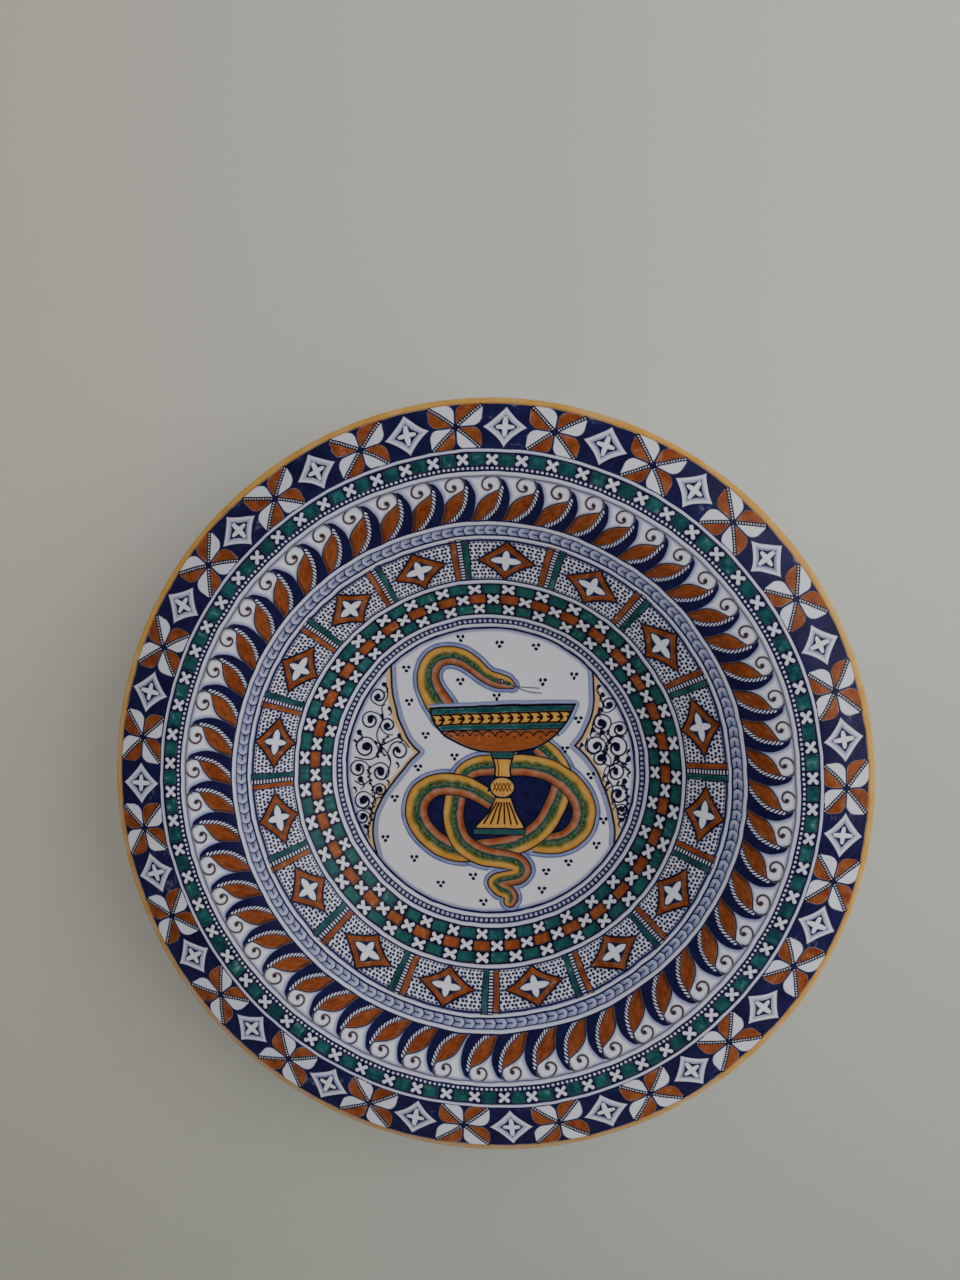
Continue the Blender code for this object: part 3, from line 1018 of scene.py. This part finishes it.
def stem_and_foot(c):
    shape(c, COLLAR, 0.45, green=1.15, navy=0.1)
    shape(c, STEM, 0.55, yellow=1.05, orange=warm)
    along_line(c, ((5.2, 6.6), (6, 1.5), (5.4, -2.8)), 0.25, **BROWN)
    for x in (-0.6, 15.6):
        along_line(c, ((x, -7.5), (x * 0.9 + 0.75, -9.5), (x, -11.8)), 0.7, navy=1.3)
    shape(c, oval(7.6, -9.5, 7.3, 6.2, range(0, 360, 20)), 0.5, yellow=1.05, orange=warm)
    for edges in ((-6.9, -11.8), (-11.8, -6.9)):
        zigzag = [(2.4 + 10.4 * n / 5, edges[1 - n % 2]) for n in range(6)]
        for stroke in zip(zigzag[:-1], zigzag[1:]):
            along_line(c, stroke, 0.22, **BROWN)
    shape(c, SKIRT, 0.5, yellow=1.05, orange=warm)
    for n in range(FLUTES):
        t = (n + 0.5) / FLUTES * 2 - 1
        flute = ((7.8 + 4.4 * t, -18.5), (7.3 + 7.6 * t, -24), (6.6 + 12 * t, -31))
        along_line(c, flute, 0.48, **BROWN)
    shape(c, FOOT_BAR, 0.45, green=1.15, navy=0.1)


def head(c):
    for tine in TONGUE:
        along_line(c, tine, 0.33, navy=0.85, line=0.5)
    along_line(c, ((14.2, 49.6), (16.4, 49.3)), 0.75, navy=0.7, line=0.7)
    shape(c, oval(6.8, 52.7, 1.9, 1.2, range(0, 360, 30)), 0.35, yellow=0.5, green=0.3)
    spot(c, 6.6, 52.7, 0.75, line=1, navy=0.8)
    along_line(c, ((8.5, 50.2), (11.2, 49.9), (13.4, 49.6)), 0.25, line=0.9)


def navy_brush(part, distance):
    return 1.25 + 0.2 * cloud(part.x, part.y, 3, 9)


def medallion(c):
    c.tint(np.ones_like(c.x), orange=0.07)
    lobed_field(c)
    scrolls(c)
    for path in (NECK, RIGHT_LOOP, FAR_LOOP, TAIL):
        halo(c, path)
    for corners in NAVY_GROUND:
        shape(c, corners, 0, navy=navy_brush)
    strand(c, NECK, capped=True)
    head(c)
    strand(c, RIGHT_LOOP)
    strand(c, FAR_LOOP)
    strand(c, TAIL, -1)
    strand(c, RIGHT_LOOP, first=OVER_FAR_LOOP)
    strand(c, TAIL, -1, first=TAIL_TOP, capped=True)
    bowl(c)
    stem_and_foot(c)
    for x, y in CLUSTERS:
        for dx, dy in ((-1.4, 0.9), (1.5, 1), (0.1, -1.3)):
            spot(c, x + dx, y + dy, 1, navy=1.2, line=0.7)


# Where each painter works, from one radius to another.
BANDS = (
    (180.6, 212, rim_line),
    (180.6, 212, flower_band),
    (166.6, 182, cross_band),
    (142, 168, feather_band),
    (132.4, 143.8, braid),
    (110.6, 134, panels),
    (91, 112.2, checker),
    (80.6, 92.6, bead_ring),
    (-1, 83.6, medallion),
    (82.2, 84.9, inner_line),
)


def painted(x, y):
    """Pigment densities at the face's points, with the brush's wander."""
    wander = [0.22 * cloud(x, y, 6, n) + 0.5 * cloud(x, y, 40, n + 2) for n in (1, 2)]
    canvas = Canvas(x + wander[0], y + wander[1])
    for low, high, painter in BANDS:
        with canvas.part((canvas.r > low) & (canvas.r < high)) as band:
            painter(band)
    return np.clip(canvas.layers, 0, 1 + THICKEST)


# ---------------------------------------------------------------- finishes


class Look:
    """A procedural material in the making: its nodes end in one Principled shader."""

    def __init__(self, name):
        self.material = bpy.data.materials.new(name)
        self.material.use_nodes = True
        self.tree = self.material.node_tree
        self.shader = self.tree.nodes["Principled BSDF"]

    def join(self, inputs, values):
        """Links each socket to another node's output, or sets it to a number or a colour."""
        for name, value in values.items():
            if isinstance(value, bpy.types.NodeSocket):
                self.tree.links.new(value, inputs[name])
            else:
                inputs[name].default_value = value

    def node(self, kind, values, **settings):
        made = self.tree.nodes.new("ShaderNode" + kind)
        for name, value in settings.items():
            setattr(made, name, value)
        self.join(made.inputs, values)
        return made.outputs

    def noise(self, scale, detail=3.0, roughness=0.5):
        place = self.node("TexCoord", {})["Object"]
        values = {"Vector": place, "Scale": scale, "Detail": detail, "Roughness": roughness}
        return self.node("TexNoise", values)["Fac"]

    def between(self, value, start, end, low=0.0, high=1.0):
        """The value's run from start to end stretched to run from low to high."""
        limits = {"From Min": start, "From Max": end, "To Min": low, "To Max": high}
        return self.node("MapRange", {"Value": value, **limits})["Result"]

    def mottle(self, low, high, *noise):
        """Noise whose middle runs from low to high."""
        return self.between(self.noise(*noise), 0.3, 0.7, low, high)

    def maths(self, operation, a, b, clamp=False):
        return self.node("Math", {0: a, 1: b}, operation=operation, use_clamp=clamp)[0]

    def mixed(self, factor, a, b, blend="MIX"):
        values = {0: factor, 6: a, 7: b}
        return self.node("Mix", values, data_type="RGBA", blend_type=blend)[2]

    def finish(self, colour, roughness, height, strength, distance, **more):
        """Joins the colour, the roughness and the bump to the shader."""
        relief = {"Height": height, "Strength": strength, "Distance": distance}
        normal = self.node("Bump", relief)["Normal"]
        values = {"Base Color": colour, "Roughness": roughness, "Normal": normal, **more}
        self.join(self.shader.inputs, values)
        return self.material


TIN_WHITE = (0.65, 0.665, 0.75, 1)
TIN_WARM = (0.64, 0.63, 0.68, 1)
IRON_SPECK = (0.34, 0.26, 0.20, 1)
GLAZE_GLOSS = 0.09

# What each pigment lets through where it is thin and where it is thick.
THROUGH = {
    "navy": ((0.017, 0.015, 0.088, 1), (0.006, 0.005, 0.042, 1)),
    "wash": ((0.30, 0.35, 0.585, 1), (0.20, 0.245, 0.49, 1)),
    "orange": ((0.45, 0.125, 0.032, 1), (0.25, 0.048, 0.011, 1)),
    "yellow": ((0.92, 0.53, 0.12, 1), (0.75, 0.32, 0.035, 1)),
    "green": ((0.026, 0.165, 0.145, 1), (0.008, 0.060, 0.068, 1)),
    "line": ((0.035, 0.018, 0.028, 1), (0.020, 0.010, 0.018, 1)),
}


def painted_glaze():
    """White tin glaze with each pigment's colour let through where it is painted."""
    look = Look("painted_glaze")
    colour = look.mixed(look.mottle(0, 1, 14), TIN_WHITE, TIN_WARM)
    densities = []
    for name in ("paint_a", "paint_b"):
        stored = look.node("Attribute", {}, attribute_name=name)["Color"]
        densities += look.node("SeparateColor", {0: stored})[:3]
    strokes = look.mottle(-0.12, 0.12, 420, 4, 0.6)
    uneven = look.maths("ADD", strokes, look.mottle(-0.12, 0.12, 90, 2))
    thickness = 0.0
    for name, density in zip(PIGMENTS, densities):
        heavy = look.between(look.maths("ADD", density, uneven), 0.95, 1 + THICKEST)
        cover = look.maths("MULTIPLY", density, 1.0, clamp=True)
        colour = look.mixed(cover, colour, look.mixed(heavy, *THROUGH[name]), "MULTIPLY")
        thickness = look.maths("ADD", density, thickness)
    ripple = look.maths("MULTIPLY", look.noise(160, 2), 1.6)
    height = look.maths("ADD", ripple, look.maths("MULTIPLY", thickness, 0.5))
    gloss = {"Specular IOR Level": GLAZE_GLOSS}
    return look.finish(colour, look.mottle(0.22, 0.32, 60), height, 0.22, 0.0002, **gloss)


def plain_glaze():
    look = Look("white_glaze")
    pale = look.mixed(look.mottle(0, 1, 16), TIN_WHITE, TIN_WARM)
    specks = look.maths("MULTIPLY", look.mottle(-6.4, 1.6, 520, 2), 0.5, clamp=True)
    colour = look.mixed(specks, pale, IRON_SPECK)
    return look.finish(colour, look.mottle(0.18, 0.32, 50), look.noise(110, 3), 0.3, 0.0004)


def terracotta():
    look = Look("terracotta")
    fired = look.mixed(look.mottle(0, 1, 70, 5), (0.50, 0.25, 0.14, 1), (0.62, 0.36, 0.23, 1))
    grit = look.maths("MULTIPLY", look.mottle(-1.2, 0.8, 900, 2), 0.6, clamp=True)
    colour = look.mixed(grit, fired, (0.28, 0.13, 0.075, 1))
    return look.finish(colour, look.mottle(0.75, 0.95, 200), look.noise(800, 4), 0.5, 0.0004)


def drawn_steel():
    look = Look("steel_wire")
    grey = look.mixed(look.mottle(0, 1, 300, 3), (0.52, 0.51, 0.49, 1), (0.36, 0.34, 0.31, 1))
    rough = look.mottle(0.28, 0.45, 500)
    return look.finish(grey, rough, look.noise(1500, 2), 0.15, 0.0001, Metallic=1.0)


# ---------------------------------------------------------------- the pieces

FACE_SPACING = 0.4
FACE_GAP = 0.33
FACE_FEWEST = 45
FACE_MOST = 2880
HIDDEN_SPACING = 6.0
HIDDEN_FEWEST = 180
UV_SPAN = 2.02 * RIM_RADIUS


def face_rings(outline):
    """Rings at even steps along the face, whose point counts at most double or halve."""
    rings = []
    count = FACE_FEWEST
    for r, d in evenly(outline, FACE_SPACING):
        wanted = FACE_FEWEST
        while wanted < FACE_MOST and 2 * pi * r / wanted > FACE_GAP:
            wanted *= 2
        count = min(max(wanted, count // 2), count * 2)
        rings.append((r, d, count))
    return rings


def hidden_side(outline, count):
    """Coarse rings on the clay side of a skin, back along its outline."""
    rings = []
    for r, d in evenly(inset(outline, SKIN)[::-1], HIDDEN_SPACING):
        count = max(count // 2, HIDDEN_FEWEST)
        rings.append((r, d, count))
    return rings


def front_piece(look):
    """The painted face. Its points are close enough to carry the brushwork."""
    outline = face_outline()
    rings = face_rings(outline)
    behind = hidden_side(outline[::8], rings[-1][2])
    mesh, first, r, angle = lofted("painted_face", rings + behind)
    x, y = r * np.cos(angle), r * np.sin(angle)
    shown = np.arange(len(r)) < first[len(rings)]
    layers = (painted(x, y) * shown).astype(np.float32)
    for name, three in (("paint_a", layers[:3]), ("paint_b", layers[3:])):
        values = np.ones((len(r), 4), np.float32)
        values[:, :3] = three.T
        mesh.attributes.new(name, "FLOAT_COLOR", "POINT").data.foreach_set("color", values.ravel())
    corners = np.empty(len(mesh.loops), np.int32)
    mesh.loops.foreach_get("vertex_index", corners)
    flat = 0.5 + np.stack([x, y], axis=1)[corners] / UV_SPAN
    uv = mesh.uv_layers.new(name="OFBake")
    uv.data.foreach_set("uv", flat.astype(np.float32).ravel())
    return added("painted_face", mesh, look)


def hole_cutter():
    bpy.ops.mesh.primitive_cylinder_add(
        vertices=48,
        radius=HOLE_RADIUS * MM,
        depth=3 * FOOT_OUTER * MM,
        location=(0, (HOLE_DEPTH - MID_DEPTH) * MM, HOLE_HEIGHT * MM),
        rotation=(0, pi / 2, 0),
    )
    return bpy.context.object


def bored(obj, cutter):
    """Bores the wire's holes and keeps the result as a plain mesh."""
    cut = obj.modifiers.new("bore", "BOOLEAN")
    cut.object = cutter
    cut.solver = "EXACT"
    graph = bpy.context.evaluated_depsgraph_get()
    kept = bpy.data.meshes.new_from_object(obj.evaluated_get(graph))
    obj.modifiers.clear()
    obj.data = kept
    kept.shade_smooth()
    kept.set_sharp_from_angle(angle=radians(40))


def skin_piece(name, outline, spacing, count, look):
    sides = evenly(outline, spacing), evenly(inset(outline, SKIN)[::-1], 2.5 * spacing)
    rings = [(r, d, count) for side in sides for r, d in side]
    return added(name, lofted(name, rings, closed=True)[0], look)


def wire_route():
    """The wire from one twisted end, through both holes and over the apex, to the other.

    In its own plane a point is a complex number: across the plate, and up from the hinge axis.
    """
    up_leg = np.exp(1j * (pi - LEG_SLOPE))
    turn = np.linspace(-pi / 2, pi / 2 - LEG_SLOPE, 8)
    right_bend = BEND_START + BEND_RADIUS * (1j + np.exp(1j * turn))
    leg = right_bend[-1]
    peak = leg.imag + leg.real * sin(LEG_SLOPE) / cos(LEG_SLOPE) - APEX_RADIUS / cos(LEG_SLOPE)
    turn = pi / 2 + np.linspace(LEG_SLOPE, -LEG_SLOPE, 7)
    apex = 1j * peak + APEX_RADIUS * np.exp(1j * turn)
    low = TWIST_START
    high = low + TWIST_TURNS * TWIST_PITCH

    def on_leg(*distances):
        return leg + up_leg * np.array(distances)

    def wound(phase):
        """One of the two ends, wound round the other along the right-hand leg."""
        distance = np.linspace(high, low, TWIST_TURNS * POINTS_PER_TURN + 1)
        angle = phase + 2 * pi * distance / TWIST_PITCH
        flat = on_leg(*distance) + 1j * up_leg * TWIST_OFFSET * np.cos(angle)
        return np.stack([flat.real, TWIST_OFFSET * np.sin(angle), flat.imag], axis=1)

    flat = np.concatenate([
        on_leg(low - TWIST_LEAD, low / 2),
        right_bend[::-1],
        BEND_START * np.array([0.5, 0, -0.5]),
        -right_bend.conj(),
        -on_leg(15, 30, 45).conj(),
        apex,
        on_leg(high + 2 * TWIST_LEAD, high + TWIST_LEAD),
    ])
    middle = np.stack([flat.real, np.zeros(len(flat)), flat.imag], axis=1)
    return np.vstack([wound(0), middle, wound(pi)])


def wire_piece(look):
    """A round tube along the wire's route, from one twisted end to the other."""
    route = smooth(wire_route(), 4)
    ahead = np.gradient(route, axis=0)
    ahead /= np.linalg.norm(ahead, axis=1)[:, None]
    side = np.cross(ahead[0], (0, 1, 0.3))
    turn = 2 * pi * np.arange(WIRE_SIDES)[:, None] / WIRE_SIDES
    rows = []
    for centre, direction in zip(route, ahead):
        side = side - direction * (side @ direction)
        side = side / np.linalg.norm(side)
        up = np.cross(direction, side)
        rows.append(centre + WIRE_RADIUS * (np.cos(turn) * side + np.sin(turn) * up))
    co = np.vstack(rows) + (0, HOLE_DEPTH - MID_DEPTH, HOLE_HEIGHT)
    faces = []
    for row in range(0, len(co) - WIRE_SIDES, WIRE_SIDES):
        faces += stitched(row, WIRE_SIDES, row + WIRE_SIDES, WIRE_SIDES)
    end = np.arange(WIRE_SIDES)
    faces += [end[None], (len(co) - 1 - end)[None]]
    return added("bent_wire", meshed("bent_wire", co, faces), look)


paint, white, clay, steel = painted_glaze(), plain_glaze(), terracotta(), drawn_steel()
face = front_piece(paint)
cutter = hole_cutter()
under = skin_piece("underside", back_outline(), 1.2, 720, white)
recess = skin_piece("recess", recess_outline(), 1.5, 360, white)
for piece in (under, recess):
    bored(piece, cutter)
bpy.data.objects.remove(cutter)
wire = wire_piece(steel)
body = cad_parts["clay_body"]
body.data.materials.clear()
body.data.materials.append(clay)

for piece, cad_node, slot in (
    (face, "front_glaze", "painted_glaze"),
    (under, "underside_glaze", "white_glaze"),
    (recess, "recess_glaze", "white_glaze"),
    (wire, "hanging_wire", "steel_wire"),
):
    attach(piece, "wire" if piece is wire else "plate")
    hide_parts(cad_node)

# ---------------------------------------------------------------- wall, floor, light, camera

WALL_AT = (WALL_DEPTH - MID_DEPTH + 0.6) * MM
FLOOR_AT = -0.75
ROOM = 9
CEILING_AT = 4
# Painted shade on the wall: tints that darken it towards its foot, and darken and warm it towards its
# left side.
WALL_FOOT_PAINTED_SHADE = (0.68, 0.70, 0.69, 1)
WALL_LEFT_PAINTED_SHADE = (1.0, 0.955, 0.885, 1)


def matt_paint(look, colour):
    return look.finish(colour, 0.75, look.noise(260, 4), 0.12, 0.0006)


def wall_paint():
    """Pale paint with painted shade, darker towards its foot and its left side, that can't be seen
    from behind.
    """
    look = Look("wall_paint")
    pale = look.mottle(0, 1, 2.5)
    colour = look.mixed(pale, (0.527, 0.535, 0.485, 1), (0.547, 0.55, 0.50, 1))
    place = look.node("NewGeometry", {})["Position"]
    place = look.node("SeparateXYZ", {0: place})
    # Painted shade: the wall's colour is multiplied darker towards the floor and towards the left.
    for axis, start, end, painted_shade in (("Z", 0.15, -0.32, WALL_FOOT_PAINTED_SHADE), ("X", 0.1, -0.25, WALL_LEFT_PAINTED_SHADE)):
        share = look.between(place[axis], start, end)
        colour = look.mixed(share, colour, painted_shade, "MULTIPLY")
    matt_paint(look, colour)
    behind = look.node("NewGeometry", {})["Backfacing"]
    gone = look.node("BsdfTransparent", {})[0]
    choice = look.node("MixShader", {0: behind, 1: look.shader.outputs[0], 2: gone})[0]
    look.tree.links.new(choice, look.tree.nodes["Material Output"].inputs["Surface"])
    return look.material


def floor_paint():
    look = Look("floor_paint")
    pale = look.mottle(0, 1, 2.5)
    return matt_paint(look, look.mixed(pale, (0.60, 0.59, 0.57, 1), (0.64, 0.63, 0.61, 1)))


def sheet(name, corners, look):
    mesh = bpy.data.meshes.new(name)
    mesh.from_pydata(corners, [], [(0, 1, 2, 3)])
    obj = added(name, mesh, look)
    return obj


def light(name, place, size, energy, colour):
    """A round soft lamp aimed at the plate's centre."""
    lamp = bpy.data.lights.new(name, "AREA")
    lamp.shape = "DISK"
    lamp.size = size
    lamp.energy = energy
    lamp.color = colour
    placed(name, lamp, place, (-Vector(place)).to_track_quat("-Z", "Y").to_euler())


def room_light(colour, strength):
    world = bpy.data.worlds.new("room")
    world.use_nodes = True
    bpy.context.scene.world = world
    sky = world.node_tree.nodes["Background"].inputs
    sky["Color"].default_value = colour
    sky["Strength"].default_value = strength


def camera(place, turn, lens):
    eye = bpy.data.cameras.new("camera")
    eye.lens = lens
    eye.sensor_width = 36
    eye.clip_start = 0.01
    bpy.context.scene.camera = placed("camera", eye, place, [radians(a) for a in turn])


low_corners = [(-ROOM, WALL_AT, FLOOR_AT), (ROOM, WALL_AT, FLOOR_AT)]
high_corners = [(ROOM, WALL_AT, CEILING_AT), (-ROOM, WALL_AT, CEILING_AT)]
wall = sheet("wall", low_corners + high_corners, wall_paint())
wall.visible_shadow = False
ground = [(x * ROOM, y * ROOM, FLOOR_AT) for x, y in ((-1, -1), (1, -1), (1, 1), (-1, 1))]
sheet("floor", ground, floor_paint())
room_light((0.94, 0.955, 1.0, 1), 0.54)
light("window", (1.45, -0.95, 0.45), 2.1, 29, (1.0, 0.985, 0.95))
light("behind", (-0.7, 1.6, 0.9), 1.2, 22, (1.0, 0.99, 0.98))
camera((0.0433, -0.5737, 0.1148), (86.29, 0.30, 4.68), 28.56)
